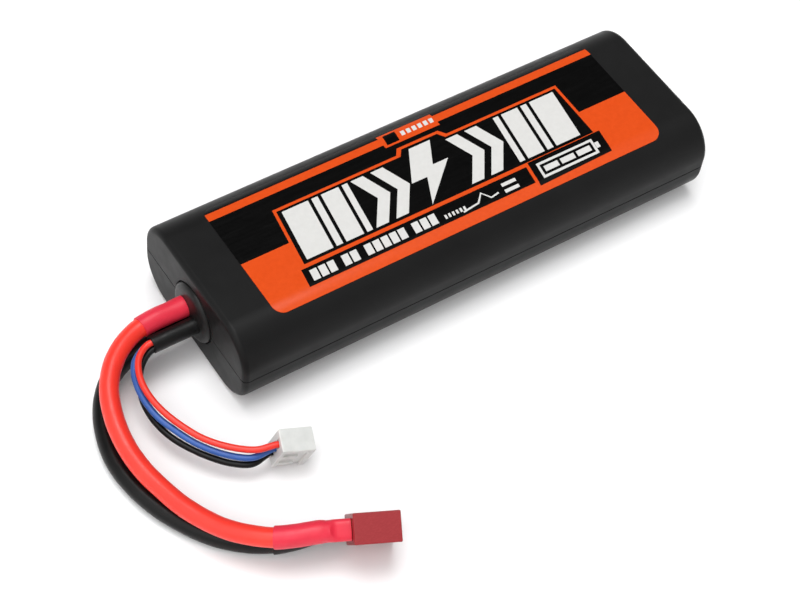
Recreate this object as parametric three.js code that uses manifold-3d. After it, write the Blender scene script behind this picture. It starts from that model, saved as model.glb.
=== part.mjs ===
// A two-cell lithium polymer stick pack in a round-sided hard case, with its power leads,
// their two-blade plug, and the three-wire balance lead with its connector.
// Millimetres, +Z up, +X away from the lead end. The case stands on z = 0, centred on x = y = 0.
import * as THREE from 'three';
import { mergeVertices } from 'three/addons/utils/BufferGeometryUtils.js';
import Module from 'manifold-3d';

const wasm = await Module();
wasm.setup();

// ---------- driving dimensions ----------
const gap = 0.3; // clearance between pieces that touch

const caseLength = 138;
const caseWidth = 47.5;
const caseHeight = 24.5;
const sideRadius = 10; // long edges of the case
const endFillet = 1.2; // rim of the flat end faces
const wall = 1.8;
const midZ = caseHeight / 2;
const partingZ = 11.8;
const tongueRise = 1.7; // tongue of the lower shell inside the rebate of the upper one

const exitRadius = 8.2; // round opening that the leads come out of
const exitRise = 1.3; // how far the rubber stands out of the end face
const exitRounding = 2.2; // width of its rounded rim
const bossWall = 1.6;
const bossLength = 8;
const flangeThickness = 1.5;

const labelLength = 114;
const labelWrap = THREE.MathUtils.degToRad(24.4); // how far it turns down over each shoulder
const labelThickness = 0.2;
const labelLift = 0.06;

const cellLength = 114;
const cellWidth = 36.5;
const cellHeight = 8.9;
const cellEdge = 3.2;
const cellStartX = -50;
const cellGap = 1.2;
const boardX = -56;
const boardThickness = 1.2;

const leadRadius = 2.35;
const sleeveWall = 0.2;
const sleeveInner = leadRadius + 0.1;
const sleeveOuter = sleeveInner + sleeveWall;
const wireRadius = 0.8;
const bundleRadius = 0.97; // centre of each balance wire from the middle of the bundle
const sheathInner = bundleRadius + wireRadius + 0.05;
const sheathOuter = sheathInner + 0.35;
const sleeveEndX = -82; // where the sleeves and the sheath stop outside the case

const plugLength = 10.8;
const plugWidth = 16;
const plugThickness = 7.1;
const plugCentre = new THREE.Vector3(-62.6, -69.95, 8.8);
const plugYaw = THREE.MathUtils.degToRad(-25.3);
const plugLean = THREE.MathUtils.degToRad(120); // turn about its own length, from lying flat
const contactOffset = 3.6;
const contactThickness = 0.9;
const contactWidth = 4.4;
const contactTail = 5;

const wirePitch = 2.5;
const balanceLength = 8.2;
const balanceWidth = 9.8;
const balanceThickness = 5.8;
const balanceCentre = new THREE.Vector3(-66.35, -40.95, 6.3);
const balanceYaw = THREE.MathUtils.degToRad(-16.5);
const balancePitch = THREE.MathUtils.degToRad(11.5); // nose down
const balanceRoll = THREE.MathUtils.degToRad(104); // on its narrow side, the wires one above another
const cavitySize = 2;

// Where each lead passes the rubber, as [y, z].
const positiveExit = [2.3, 12.9];
const negativeExit = [0.6, 7.4];
const bundleExit = [-2.8, 11.3];

// Routes of the free leads past the exit, from the case to the plugs.
const positiveRoute = [
  [-83.3, 1.8, 12.6], [-88.7, -0.5, 12.2], [-93.1, -4.1, 11.6], [-96.4, -8.7, 10.8], [-98.4, -13.9, 9.9],
  [-99.5, -19.3, 9], [-99.8, -24.8, 8.2], [-99.3, -30.7, 7.7], [-98, -36.7, 7.5], [-96.4, -42.6, 7.6],
  [-94, -48.4, 8], [-91.3, -53.5, 8.8], [-87.9, -57.9, 9.8], [-83.8, -61.8, 10.8], [-79.3, -64.3, 11.5],
];
const negativeRoute = [
  [-82.5, 0.5, 6.8], [-87, 0.2, 5.5], [-91.4, -1.1, 4], [-95.1, -3.9, 2.9], [-98, -8, 2.5],
  [-100.2, -12.8, 2.5], [-101.7, -18, 2.5], [-102.3, -23.6, 2.5], [-101.8, -29.9, 2.5],
  [-100, -37, 2.5], [-96.9, -44, 2.5], [-92.8, -50.4, 2.5], [-88, -55.3, 2.7], [-82.9, -59.1, 3.4],
  [-78, -61.5, 4.7],
];
const wireRoutes = [
  [
    [-83.4, -2.9, 12], [-86.3, -4.8, 11.8], [-88.1, -7.7, 11.5], [-89.1, -11.5, 11.1], [-89.1, -16.1, 10.6],
    [-88.1, -20.9, 10.1], [-86.3, -25.6, 9.6], [-84.2, -29.8, 9.3], [-81.5, -33.4, 9.1], [-78.1, -36.8, 9.1],
    [-74.6, -39.3, 9.3],
  ],
  [
    [-84, -2.2, 10], [-87, -4, 9.7], [-88.9, -7, 9.3], [-89.9, -10.9, 8.9], [-90.1, -15.2, 8.5],
    [-89.5, -19.8, 8.1], [-87.9, -24.1, 7.7], [-85.8, -28.8, 7.4], [-83.1, -32.9, 7.1], [-79.7, -36.6, 6.9],
    [-75.8, -39.4, 7],
  ],
  [
    [-83.4, -3.9, 10.1], [-85.9, -5.3, 8.9], [-88, -7.9, 7.6], [-89.5, -11.4, 6.8], [-90.2, -15.3, 6.3],
    [-90, -19.9, 5.9], [-88.8, -24.5, 5.6], [-86.4, -29.3, 5.3], [-83.4, -33.7, 5.1], [-79.9, -37.3, 4.8],
    [-76, -39.7, 4.8],
  ],
];
const wireTurn = [90, -30, 210]; // place of each wire round the bundle, degrees

// ---------- materials ----------
const material = (color, roughness, metalness = 0) =>
  new THREE.MeshStandardMaterial({ color, roughness, metalness });
const casePlastic = () => material(0x262626, 0.42);
const blackRubber = () => material(0x141414, 0.7);
const redSilicone = () => material(0xff3a28, 0.4);
const blackSilicone = () => material(0x161616, 0.45);
const blueSilicone = () => material(0x2f5fc0, 0.4);
const redShrink = () => material(0xe8303f, 0.35);
const foam = () => material(0x2b2b2e, 0.95);
const cellFoil = () => material(0xb9bcc0, 0.3, 0.8);
const nickel = () => material(0xc2bfb4, 0.25, 1);
const aluminium = () => material(0xc9ccd0, 0.3, 1);
const gold = () => material(0xd9a53a, 0.25, 1);

// ---------- helpers ----------
const alongX = new THREE.Matrix4().makeBasis(
  new THREE.Vector3(0, 1, 0),
  new THREE.Vector3(0, 0, 1),
  new THREE.Vector3(1, 0, 0),
);

// A rectangle with rounded corners in the plane of the section.
function roundedRectangle(width, height, radius) {
  const shape = new THREE.Shape();
  const x = width / 2 - radius;
  const y = height / 2 - radius;
  shape.absarc(x, y, radius, 0, Math.PI / 2, false);
  shape.absarc(-x, y, radius, Math.PI / 2, Math.PI, false);
  shape.absarc(-x, -y, radius, Math.PI, 1.5 * Math.PI, false);
  shape.absarc(x, -y, radius, 1.5 * Math.PI, 2 * Math.PI, false);
  return shape;
}

// A bar with that section along X, from startX on, with filleted end rims.
function roundedBar(startX, length, width, height, radius, fillet = 0, segments = 10) {
  const geometry = new THREE.ExtrudeGeometry(
    roundedRectangle(width - 2 * fillet, height - 2 * fillet, radius - fillet),
    {
      depth: length - 2 * fillet,
      curveSegments: segments,
      bevelEnabled: fillet > 0,
      bevelThickness: fillet,
      bevelSize: fillet,
      bevelSegments: 3,
    },
  );
  geometry.translate(0, 0, fillet);
  geometry.applyMatrix4(alongX);
  return geometry.translate(startX, 0, 0);
}

function box(x0, x1, y0, y1, z0, z1) {
  const geometry = new THREE.BoxGeometry(x1 - x0, y1 - y0, z1 - z0);
  return geometry.translate((x0 + x1) / 2, (y0 + y1) / 2, (z0 + z1) / 2);
}

// A round bar along X, centred on [y, z].
function rod(x0, x1, radius, [y, z], sides = 32) {
  const geometry = new THREE.CylinderGeometry(radius, radius, x1 - x0, sides);
  geometry.rotateZ(-Math.PI / 2);
  return geometry.translate((x0 + x1) / 2, y, z);
}

function solid(geometry) {
  const bare = geometry.clone();
  bare.deleteAttribute('normal');
  bare.deleteAttribute('uv');
  const welded = mergeVertices(bare, 1e-4);
  return new wasm.Manifold(new wasm.Mesh({
    numProp: 3,
    vertProperties: new Float32Array(welded.attributes.position.array),
    triVerts: new Uint32Array(welded.index.array),
  }));
}

function geometryOf(body) {
  const mesh = body.getMesh();
  const geometry = new THREE.BufferGeometry();
  geometry.setAttribute('position', new THREE.BufferAttribute(new Float32Array(mesh.vertProperties), 3));
  geometry.setIndex(new THREE.BufferAttribute(new Uint32Array(mesh.triVerts), 1));
  return geometry;
}

const minus = (body, cutters) => cutters.reduce((result, cutter) => result.subtract(solid(cutter)), body);

function curveThrough(points) {
  return new THREE.CatmullRomCurve3(points.map((p) => new THREE.Vector3(...p)), false, 'centripetal');
}

// A closed tube along a curve; with an inner radius it is a hollow sleeve.
function tube(curve, radius, sides, steps, innerRadius = 0) {
  const section = new THREE.Shape();
  const corner = (r, i) => [r * Math.cos((2 * Math.PI * i) / sides), r * Math.sin((2 * Math.PI * i) / sides)];
  section.setFromPoints(Array.from({ length: sides }, (_, i) => new THREE.Vector2(...corner(radius, i))));
  if (innerRadius > 0) {
    const hole = new THREE.Path();
    hole.setFromPoints(Array.from({ length: sides }, (_, i) => new THREE.Vector2(...corner(innerRadius, -i))));
    section.holes.push(hole);
  }
  return new THREE.ExtrudeGeometry(section, { steps, extrudePath: curve, bevelEnabled: false });
}

function add(parent, name, geometry, look) {
  const mesh = new THREE.Mesh(geometry, look);
  mesh.name = name;
  parent.add(mesh);
  return mesh;
}

// ---------- case ----------
const endX = caseLength / 2;
const bossEndX = -endX + bossLength;

// The full case section, grown inward by an inset, as a bar along X.
function caseBar(inset, fillet = 0) {
  return roundedBar(
    -endX + inset, caseLength - 2 * inset, caseWidth - 2 * inset, caseHeight - 2 * inset,
    sideRadius - inset, fillet,
  ).translate(0, 0, midZ);
}

// The band of wall between two insets and two heights.
function wallBand(insetOut, insetIn, z0, z1) {
  const layer = box(-endX, endX, -caseWidth, caseWidth, z0, z1);
  return solid(caseBar(insetOut)).subtract(solid(caseBar(insetIn))).intersect(solid(layer));
}

function caseShells() {
  const boss = rod(-endX + wall / 2, bossEndX, exitRadius + bossWall, [0, midZ], 40);
  const whole = solid(caseBar(0, endFillet)).subtract(solid(caseBar(wall))).add(solid(boss));
  const opened = minus(whole, [rod(-endX - 5, 0, exitRadius, [0, midZ], 40)]);
  const farY = caseWidth;
  const above = box(-endX - 1, endX + 1, -farY, farY, partingZ + gap / 2, caseHeight + 1);
  const below = box(-endX - 1, endX + 1, -farY, farY, -1, partingZ - gap / 2);
  const rebate = wallBand(0.8, wall + gap, partingZ, partingZ + tongueRise + gap);
  const tongue = minus(wallBand(0.8 + gap, wall, partingZ - 1, partingZ + tongueRise), [
    rod(-endX - 5, 0, exitRadius, [0, midZ], 40),
  ]);
  return {
    upper: opened.intersect(solid(above)).subtract(rebate),
    lower: opened.intersect(solid(below)).add(tongue),
  };
}

// The rubber that fills the opening: a face with a rounded rim, and a flange behind the boss.
function grommetGeometry() {
  const radius = exitRadius - gap;
  const faceX = -endX - exitRise;
  const flangeX = bossEndX + gap;
  const face = new THREE.Shape();
  face.absarc(0, 0, radius - exitRounding, 0, 2 * Math.PI, false);
  const body = new THREE.ExtrudeGeometry(face, {
    depth: flangeX + flangeThickness - 0.2 - faceX - 2 * exitRise,
    curveSegments: 20,
    bevelThickness: exitRise,
    bevelSize: exitRounding,
    bevelSegments: 5,
  });
  body.translate(0, 0, exitRise).applyMatrix4(alongX).translate(faceX, 0, midZ);
  const flange = rod(flangeX, flangeX + flangeThickness, exitRadius + 1.2, [0, midZ], 40);
  return geometryOf(minus(solid(body).add(solid(flange)), [
    rod(faceX - 1, 0, sleeveOuter + 0.05, positiveExit, 24),
    rod(faceX - 1, 0, sleeveOuter + 0.05, negativeExit, 24),
    rod(faceX - 1, 0, sheathOuter + 0.05, bundleExit, 24),
  ]));
}

// The label: a thin sheet over the flat top that turns down over both shoulders.
function labelGeometry() {
  const inner = sideRadius + labelLift;
  const outer = inner + labelThickness;
  const y = caseWidth / 2 - sideRadius;
  const z = caseHeight - sideRadius;
  const sheet = new THREE.Shape();
  const quarter = Math.PI / 2;
  sheet.absarc(y, z, outer, quarter - labelWrap, quarter, false);
  sheet.absarc(-y, z, outer, quarter, quarter + labelWrap, false);
  sheet.absarc(-y, z, inner, quarter + labelWrap, quarter, true);
  sheet.absarc(y, z, inner, quarter, quarter - labelWrap, true);
  const geometry = new THREE.ExtrudeGeometry(sheet, {
    depth: labelLength, curveSegments: 5, bevelEnabled: false,
  });
  return geometry.applyMatrix4(alongX).translate(-labelLength / 2, 0, 0);
}

const group = new THREE.Group();
const shells = caseShells();
add(group, 'case_upper', geometryOf(shells.upper), casePlastic());
add(group, 'case_lower', geometryOf(shells.lower), casePlastic());
add(group, 'lead_grommet', grommetGeometry(), blackRubber());
add(group, 'label', labelGeometry(), material(0xff5a1e, 0.3));

// ---------- cells, tabs and board ----------
const cells = new THREE.Group();
cells.position.set(0, 0, midZ);
group.add(cells);

const cellEndX = cellStartX + cellLength;
const insulatorX = boardX + boardThickness + gap;
const linkX = insulatorX + 0.4 + gap;
const linkThickness = 0.9;
const cellZ = (cellGap + cellHeight) / 2;
for (const [name, side] of [['lower', -1], ['upper', 1]]) {
  const pouch = roundedBar(cellStartX, cellLength, cellWidth, cellHeight, cellEdge, 0.8, 5);
  add(cells, `cell_${name}`, pouch.translate(0, 0, side * cellZ), cellFoil());
  for (const [pole, way, look] of [['positive', side, aluminium], ['negative', -side, nickel]]) {
    const tabStartX = way > 0 ? insulatorX + 0.4 + gap : linkX + linkThickness + gap;
    const tab = box(tabStartX, cellStartX - gap, way * 9 - 4, way * 9 + 4, -0.1, 0.1);
    add(cells, `tab_${name}_${pole}`, tab.translate(0, 0, side * cellZ), look());
  }
}
const sheetLength = cellLength - 4;
const sheetStartX = cellStartX + 2;
add(cells, 'cell_divider', box(
  sheetStartX, sheetStartX + sheetLength, -14, 14, -cellGap / 2 + 0.1, cellGap / 2 - 0.1,
), foam());
const stackTop = cellGap / 2 + cellHeight;
const padTop = midZ - wall - 0.1;
for (const [name, side] of [['foam_bottom', -1], ['foam_top', 1]]) {
  const pad = box(sheetStartX, sheetStartX + sheetLength, -12, 12, stackTop + 0.1, padTop);
  if (side < 0) pad.rotateX(Math.PI);
  add(cells, name, pad, foam());
}
add(cells, 'foam_rear', roundedBar(
  cellEndX + gap, endX - wall - gap - cellEndX - gap, 34, 17, 3, 0, 5,
), foam());

// The terminal board stands across the pack: tabs on one side, leads on the other.
const boardShape = roundedBar(boardX, boardThickness, 36, 18.4, 4, 0, 4);
add(cells, 'terminal_board', boardShape, material(0x1f6b3a, 0.5));
add(cells, 'board_insulator', roundedBar(insulatorX, 0.4, 34, 17.4, 3.5, 0, 4), material(0xd8c9a0, 0.8));
add(cells, 'series_link', box(linkX, linkX + linkThickness, -12, -6, -7, 7), nickel());

// ---------- leads ----------
const leadStartX = boardX - gap;
const straight = ([y, z], ...xs) => xs.map((x) => [x, y, z]);

const plugMatrix = new THREE.Matrix4().makeRotationZ(plugYaw).multiply(
  new THREE.Matrix4().makeRotationX(plugLean),
);
const plugPoint = (x, y, z = 0) => new THREE.Vector3(x, y, z).applyMatrix4(plugMatrix).add(plugCentre).toArray();
const tailEndX = -plugLength / 2 - contactTail;
// The last stretch of a lead runs straight into its contact.
const leadEnd = (side) => [2, 0].map((back) => plugPoint(tailEndX - gap - back, side * contactOffset));

const positiveCurve = curveThrough([
  ...straight(positiveExit, leadStartX, -66, -74, -78), ...positiveRoute, ...leadEnd(1),
]);
const negativeCurve = curveThrough([
  ...straight(negativeExit, leadStartX, -66, -74, -78), ...negativeRoute, ...leadEnd(-1),
]);
add(group, 'main_lead_positive', tube(positiveCurve, leadRadius, 10, 50), redSilicone());
add(group, 'main_lead_negative', tube(negativeCurve, leadRadius, 10, 50), blackSilicone());

const balance = new THREE.Group();
balance.position.copy(balanceCentre);
balance.rotation.set(balanceRoll, balancePitch, balanceYaw, 'ZYX');
group.add(balance);
balance.updateMatrix();
const balancePoint = (x, y, z = 0) => new THREE.Vector3(x, y, z).applyMatrix4(balance.matrix).toArray();

const wireNames = ['positive', 'middle', 'negative'];
const wireLooks = [redSilicone, blueSilicone, blackSilicone];
wireNames.forEach((name, i) => {
  const turn = THREE.MathUtils.degToRad(wireTurn[i]);
  const place = [
    bundleExit[0] + bundleRadius * Math.cos(turn),
    bundleExit[1] + bundleRadius * Math.sin(turn),
  ];
  const curve = curveThrough([
    ...straight(place, leadStartX, -66, -74, -78, -81),
    ...wireRoutes[i],
    balancePoint(-balanceLength / 2 - gap, (1 - i) * wirePitch),
  ]);
  add(group, `balance_wire_${name}`, tube(curve, wireRadius, 8, 44), wireLooks[i]());
});

// ---------- sleeves over the leads at the case ----------
// A hollow sleeve between the two ends of a straight run.
const sleeve = (from, to, outer, inner) => tube(curveThrough([from, to]), outer, 20, 1, inner);
const sleeveStartX = bossEndX + gap + flangeThickness + 1;
const exitRun = ([y, z], x) => [[sleeveStartX, y, z], [x, y, z]];
add(group, 'exit_sleeve_positive', sleeve(
  ...exitRun(positiveExit, -78), sleeveOuter, sleeveInner,
), redShrink());
add(group, 'exit_sleeve_negative', sleeve(
  ...exitRun(negativeExit, -77), sleeveOuter, sleeveInner,
), blackRubber());
add(group, 'balance_sheath', sleeve(
  ...exitRun(bundleExit, sleeveEndX + 1), sheathOuter, sheathInner,
), blackRubber());

// ---------- two-blade power plug ----------
const plug = new THREE.Group();
plug.position.copy(plugCentre);
plug.setRotationFromMatrix(plugMatrix);
group.add(plug);

// The moulded body: two blade slots in the mating face, one flat and one across, open to the back.
const slotWidth = contactWidth + 2 * gap;
const slotHeight = 1.6;
const halfPlug = plugLength / 2;
const slotSizes = { positive: [slotHeight, slotWidth], negative: [slotWidth, slotHeight] };
const slotCutters = Object.entries(slotSizes).map(([pole, [wide, high]]) => {
  const y = pole === 'positive' ? contactOffset : -contactOffset;
  return box(-halfPlug - 1, halfPlug + 1, y - wide / 2, y + wide / 2, -high / 2, high / 2);
});
const housing = solid(roundedBar(-halfPlug, plugLength, plugWidth, plugThickness, 0.9, 0.35, 3));
add(plug, 'plug_housing', geometryOf(minus(housing, slotCutters)), material(0xb3202c, 0.4));
for (const [pole, [wide, high]] of Object.entries(slotSizes)) {
  const y = pole === 'positive' ? contactOffset : -contactOffset;
  const halfY = wide > high ? contactWidth / 2 : contactThickness / 2;
  const halfZ = wide > high ? contactThickness / 2 : contactWidth / 2;
  const blade = box(tailEndX, halfPlug - 1.5, y - halfY, y + halfY, -halfZ, halfZ);
  add(plug, `plug_contact_${pole}`, blade, gold());
}

// Shrink sleeves over the joint between each lead and its contact, along the end of the lead.
const plugSleeveLength = 13;
for (const [pole, side, curve] of [['positive', 1, positiveCurve], ['negative', -1, negativeCurve]]) {
  const start = 1 - plugSleeveLength / curve.getLength();
  const along = Array.from({ length: 8 }, (_, i) => curve.getPointAt(start + ((1 - start) * i) / 7).toArray());
  const nearPlug = plugPoint(-halfPlug - gap, side * contactOffset);
  const look = side > 0 ? redShrink() : blackRubber();
  const path = curveThrough([...along, nearPlug]);
  add(group, `plug_sleeve_${pole}`, tube(path, sleeveOuter, 20, 10, sleeveInner), look);
}

// ---------- balance connector ----------
const halfBalance = balanceLength / 2;
const body = solid(roundedBar(-halfBalance, balanceLength, balanceWidth, balanceThickness, 0.4, 0.2, 2));
const ribs = [-1, 1].map((side) => solid(box(
  -halfBalance + 0.8, halfBalance - 0.8, side * 3.2 - 0.5, side * 3.2 + 0.5,
  balanceThickness / 2 - 0.2, balanceThickness / 2 + 0.5,
)));
const cavities = [-1, 0, 1].map((i) => box(
  -halfBalance - 1, halfBalance + 1, i * wirePitch - cavitySize / 2, i * wirePitch + cavitySize / 2,
  -cavitySize / 2, cavitySize / 2,
));
const ribbed = ribs.reduce((result, rib) => result.add(rib), body);
add(balance, 'balance_housing', geometryOf(minus(ribbed, cavities)), material(0xf1f1ec, 0.35));
wireNames.forEach((name, i) => {
  const y = (1 - i) * wirePitch;
  const crimp = box(-halfBalance + 0.5, halfBalance - 1, y - 0.65, y + 0.65, -0.65, 0.65);
  add(balance, `balance_terminal_${name}`, crimp, nickel());
});

export default group;
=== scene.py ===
"""A two-cell lithium polymer stick pack in a round-sided hard case: its power leads with their
two-blade plug, and its three-wire balance lead with a small white connector.
Metres, +Z up, +X away from the lead end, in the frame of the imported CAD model."""
import math

import bmesh
import bpy
from mathutils import Matrix, Vector


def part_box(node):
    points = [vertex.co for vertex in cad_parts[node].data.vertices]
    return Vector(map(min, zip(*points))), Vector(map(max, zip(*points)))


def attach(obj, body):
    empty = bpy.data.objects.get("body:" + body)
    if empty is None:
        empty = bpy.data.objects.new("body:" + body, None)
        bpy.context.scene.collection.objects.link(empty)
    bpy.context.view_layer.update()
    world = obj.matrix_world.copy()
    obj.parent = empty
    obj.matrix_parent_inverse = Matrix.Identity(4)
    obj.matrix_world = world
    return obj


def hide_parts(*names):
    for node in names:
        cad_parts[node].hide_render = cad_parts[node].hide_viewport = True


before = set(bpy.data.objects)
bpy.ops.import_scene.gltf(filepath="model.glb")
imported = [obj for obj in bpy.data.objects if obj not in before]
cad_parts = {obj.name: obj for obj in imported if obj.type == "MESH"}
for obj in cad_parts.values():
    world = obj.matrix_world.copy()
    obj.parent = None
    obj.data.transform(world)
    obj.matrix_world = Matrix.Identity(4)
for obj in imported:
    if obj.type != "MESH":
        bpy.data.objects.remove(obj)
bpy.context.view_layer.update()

scene = bpy.context.scene
scene.view_settings.view_transform = "Standard"

# ---------- sizes taken from the frame ----------
upper_low, upper_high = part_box("case_upper")
HALF_LENGTH = upper_high.x
HALF_WIDTH = upper_high.y
HEIGHT = upper_high.z
MID_Z = HEIGHT / 2
PARTING_GAP = 0.0003
UPPER_EDGE_Z = upper_low.z
LOWER_EDGE_Z = UPPER_EDGE_Z - PARTING_GAP
LABEL_HALF_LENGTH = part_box("label")[1].x

# ---------- case ----------
SIDE_RADIUS = 0.010
END_FILLET = 0.0015
WALL = 0.0018
OPENING_RADIUS = 0.0082
OPENING_RIM = 0.0002
BUSHING_RISE = 0.0013  # how far the rubber stands out of the end face
BUSHING_ROUNDING = 0.0022
BUSHING_CLEARANCE = 0.00022  # between the rubber and the opening
BUSHING_HOLE_CLEARANCE = 0.00009  # between the rubber and each sleeve in it
FLANGE_REACH = 0.0012  # how far the flange behind the boss is wider than the opening
FLANGE_THICKNESS = 0.0014
BOSS_WALL = 0.0016
BOSS_END_X = -HALF_LENGTH + 0.008
PARTING_BEVEL = 0.0001

# ---------- leads ----------
LEAD_RADIUS = 0.00235
SLEEVE_INNER = 0.00243
SLEEVE_OUTER = 0.00268
WIRE_RADIUS = 0.0008
BUNDLE_RADIUS = 0.00097
SHEATH_INNER = 0.00182
SHEATH_OUTER = 0.00217
POSITIVE_EXIT = (0.0023, 0.0129)
NEGATIVE_EXIT = (0.0006, 0.0074)
BUNDLE_EXIT = (-0.0028, 0.0113)
WIRE_TURNS = {"positive": 90, "middle": -30, "negative": 210}  # degrees round the bundle
SLEEVE_START = 0.0019  # distances along a lead, from its inner end
POSITIVE_SLEEVE_END = 0.0259
NEGATIVE_SLEEVE_END = 0.0225
SHEATH_END = 0.0256
PLUG_SLEEVE_LENGTH = 0.0172
LEAD_START_X = -0.0563
RUN_X = (-0.066, -0.074, -0.078)  # the straight stretch out of the case

POSITIVE_ROUTE = [
    (-0.0833, 0.0018, 0.0126), (-0.0887, -0.0005, 0.0122), (-0.0931, -0.0041, 0.0116),
    (-0.0964, -0.0087, 0.0108), (-0.0984, -0.0139, 0.0099), (-0.0995, -0.0193, 0.009),
    (-0.0998, -0.0248, 0.0082), (-0.0993, -0.0307, 0.0077), (-0.098, -0.0367, 0.0075),
    (-0.0964, -0.0426, 0.0076), (-0.094, -0.0484, 0.008), (-0.0913, -0.0535, 0.0088),
    (-0.0879, -0.0579, 0.0098), (-0.0838, -0.0618, 0.0108), (-0.0793, -0.0643, 0.0115),
]
NEGATIVE_ROUTE = [
    (-0.0825, 0.0005, 0.0068), (-0.087, 0.0002, 0.0055), (-0.0914, -0.0011, 0.004),
    (-0.0951, -0.0039, 0.0029), (-0.098, -0.008, 0.0025), (-0.1002, -0.0128, 0.0025),
    (-0.1017, -0.018, 0.0025), (-0.1023, -0.0236, 0.0025), (-0.1018, -0.0299, 0.0025),
    (-0.1, -0.037, 0.0025), (-0.0969, -0.044, 0.0025), (-0.0928, -0.0504, 0.0025),
    (-0.088, -0.0553, 0.0027), (-0.0829, -0.0591, 0.0034), (-0.078, -0.0615, 0.0047),
]
WIRE_ROUTES = {
    "positive": [
        (-0.0834, -0.0029, 0.012), (-0.0863, -0.0048, 0.0118), (-0.0881, -0.0077, 0.0115),
        (-0.0891, -0.0115, 0.0111), (-0.0891, -0.0161, 0.0106), (-0.0881, -0.0209, 0.0101),
        (-0.0863, -0.0256, 0.0096), (-0.0842, -0.0298, 0.0093), (-0.0815, -0.0334, 0.0091),
        (-0.0781, -0.0368, 0.0091), (-0.0746, -0.0393, 0.0093),
    ],
    "middle": [
        (-0.084, -0.0022, 0.01), (-0.087, -0.004, 0.0097), (-0.0889, -0.007, 0.0093),
        (-0.0899, -0.0109, 0.0089), (-0.0901, -0.0152, 0.0085), (-0.0895, -0.0198, 0.0081),
        (-0.0879, -0.0241, 0.0077), (-0.0858, -0.0288, 0.0074), (-0.0831, -0.0329, 0.0071),
        (-0.0797, -0.0366, 0.0069), (-0.0758, -0.0394, 0.007),
    ],
    "negative": [
        (-0.0834, -0.0039, 0.0101), (-0.0859, -0.0053, 0.0089), (-0.088, -0.0079, 0.0076),
        (-0.0895, -0.0114, 0.0068), (-0.0902, -0.0153, 0.0063), (-0.09, -0.0199, 0.0059),
        (-0.0888, -0.0245, 0.0056), (-0.0864, -0.0293, 0.0053), (-0.0834, -0.0337, 0.0051),
        (-0.0799, -0.0373, 0.0048), (-0.076, -0.0397, 0.0048),
    ],
}

# ---------- plug and balance connector ----------
PLUG_LENGTH = 0.0108
PLUG_WIDTH = 0.016
PLUG_THICKNESS = 0.0071
PLUG_PLACE = (
    Matrix.Translation((-0.0626, -0.06995, 0.0088))
    @ Matrix.Rotation(math.radians(-25.3), 4, "Z")
    @ Matrix.Rotation(math.radians(120), 4, "X")
)
CONTACT_OFFSET = 0.0036
CONTACT_TAIL = 0.005
SLOT_LONG = 0.0025  # half of each contact slot's length and width
SLOT_SHORT = 0.0008
LEAD_END_X = -PLUG_LENGTH / 2 - CONTACT_TAIL - PARTING_GAP  # where a lead meets its contact

BALANCE_LENGTH = 0.0082
BALANCE_WIDTH = 0.0098
BALANCE_THICKNESS = 0.0058
BALANCE_PITCH = 0.0025
BALANCE_PLACE = (
    Matrix.Translation((-0.06635, -0.04095, 0.0063))
    @ Matrix.Rotation(math.radians(-16.5), 4, "Z")
    @ Matrix.Rotation(math.radians(11.5), 4, "Y")
    @ Matrix.Rotation(math.radians(104), 4, "X")
)

# ---------- printed label ----------
FLAT_HALF = HALF_WIDTH - SIDE_RADIUS
LABEL_WRAP = math.radians(24.4)  # how far the label goes round each side
LABEL_HALF_WIDTH = FLAT_HALF + LABEL_WRAP * SIDE_RADIUS  # measured over the surface
LABEL_CORNER = 0.003
LABEL_LIFT = 0.00006
LABEL_THICKNESS = 0.00011
INK_THICKNESS = 0.00002
FAR_STRIPE = (0.0135, 0.01586)  # thin orange stripe, across the label
BAND_EDGE = -0.0013  # black above it, orange below it
ART_LEAN = 0.145  # along for each unit across
ART_LOW = -0.0077
ART_HIGH = 0.0076
CHEVRON_WIDTH = 0.0078
BAR_LOW = -0.0149
BAR_HIGH = -0.0097
INK_LIFT = LABEL_LIFT + LABEL_THICKNESS  # the top of the base film

# ---------- camera and lights ----------
VIEW_AZIMUTH = math.radians(-39.66)
VIEW_ELEVATION = math.radians(52.97)
VIEW_ROLL = math.radians(8.08)
VIEW_TARGET = Vector((-0.002413, 0.004591, -0.032441))
VIEW_DISTANCE = 0.55869
LENS = 93.53

LOW_WALL = 0.8
DARK_CEILING = 0.05
WALL_TOP = (0.25, 0.5)  # the heights between which the wall turns into the ceiling
SOFT_BOXES = [  # direction, angle of the even part, angle where it ends, strength
    ((0.1, -0.35, 0.93), 25, 50, 0.35),
    ((-0.3, -0.5, 0.81), 18, 36, 0.85),
    ((-0.65, -0.1, 0.75), 20, 42, 1.5),
    ((0.02, 0.12, 0.99), 6, 22, 7.5),
]


# ---------- general helpers ----------
def link(name, data):
    piece = bpy.data.objects.new(name, data)
    scene.collection.objects.link(piece)
    return piece


def mesh_piece(name, mesh, *looks):
    """A bmesh turned into an object, with its materials."""
    data = bpy.data.meshes.new(name)
    bmesh.ops.recalc_face_normals(mesh, faces=mesh.faces[:])
    mesh.to_mesh(data)
    mesh.free()
    for look in looks:
        data.materials.append(look)
    return link(name, data)


def freeze(piece):
    """Applies the piece's modifiers to its mesh."""
    bpy.context.view_layer.update()
    graph = bpy.context.evaluated_depsgraph_get()
    data = bpy.data.meshes.new_from_object(piece.evaluated_get(graph))
    piece.modifiers.clear()
    piece.data = data


def carve(piece, cutter, operation="DIFFERENCE"):
    modifier = piece.modifiers.new("carve", "BOOLEAN")
    modifier.object = cutter
    modifier.operation = operation
    modifier.solver = "EXACT"
    freeze(piece)
    bpy.data.objects.remove(cutter)


def soften(piece, width, segments=3, angle=30):
    """Rounds the sharp edges of a mesh piece."""
    modifier = piece.modifiers.new("soften", "BEVEL")
    modifier.width = width
    modifier.segments = segments
    modifier.limit_method = "ANGLE"
    modifier.angle_limit = math.radians(angle)
    freeze(piece)


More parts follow.
